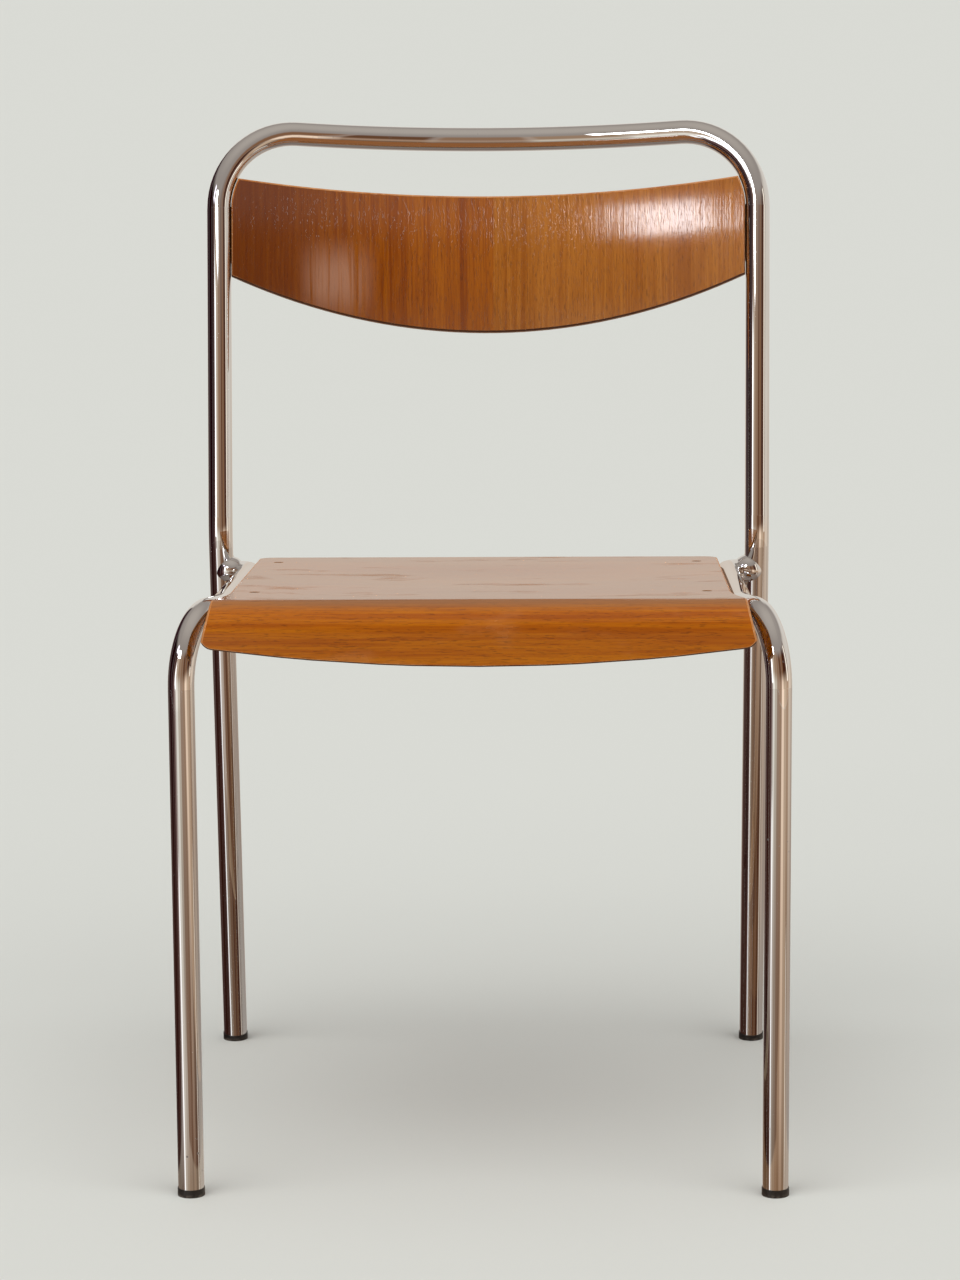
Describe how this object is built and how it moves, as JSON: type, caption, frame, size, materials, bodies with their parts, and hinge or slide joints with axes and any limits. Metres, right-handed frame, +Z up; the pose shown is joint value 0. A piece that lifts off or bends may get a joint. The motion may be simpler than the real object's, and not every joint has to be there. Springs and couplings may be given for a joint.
{
  "type": "stacking chair",
  "caption": "Stacking chair: bent round tube frame with a bowed top rail, a flat plywood seat whose front edge rolls down, and a curved plywood backrest between the uprights.",
  "frame": {"origin": "middle of the chair's outline, on the floor", "axes": "+X to the right of someone who faces the chair's front, +Y from its front to its back, +Z up"},
  "size_m": [0.4728, 0.5395, 0.7893],
  "materials": {
    "tube": "bright chrome plate",
    "bars": "satin zinc plate",
    "plywood": "orange-brown varnished veneer",
    "screws": "dull nickel plate",
    "glides": "moulded black plastic"
  },
  "bodies": {
    "root": {"back_frame": "tube", "front_leg_left": "tube", "front_leg_right": "tube", "crossbar_front": "bars", "crossbar_back": "bars", "seat_panel": "plywood", "backrest_panel": "plywood", "tab_left": "bars", "tab_right": "bars", "seat_screw_front_left": "screws", "seat_screw_front_right": "screws", "seat_screw_back_left": "screws", "seat_screw_back_right": "screws", "seat_nut_front_left": "screws", "seat_nut_front_right": "screws", "seat_nut_back_left": "screws", "seat_nut_back_right": "screws", "back_screw_left_low": "screws", "back_screw_left_high": "screws", "back_screw_right_low": "screws", "back_screw_right_high": "screws", "glide_front_left": "glides", "glide_front_right": "glides", "glide_back_left": "glides", "glide_back_right": "glides"}
  },
  "joints": []
}
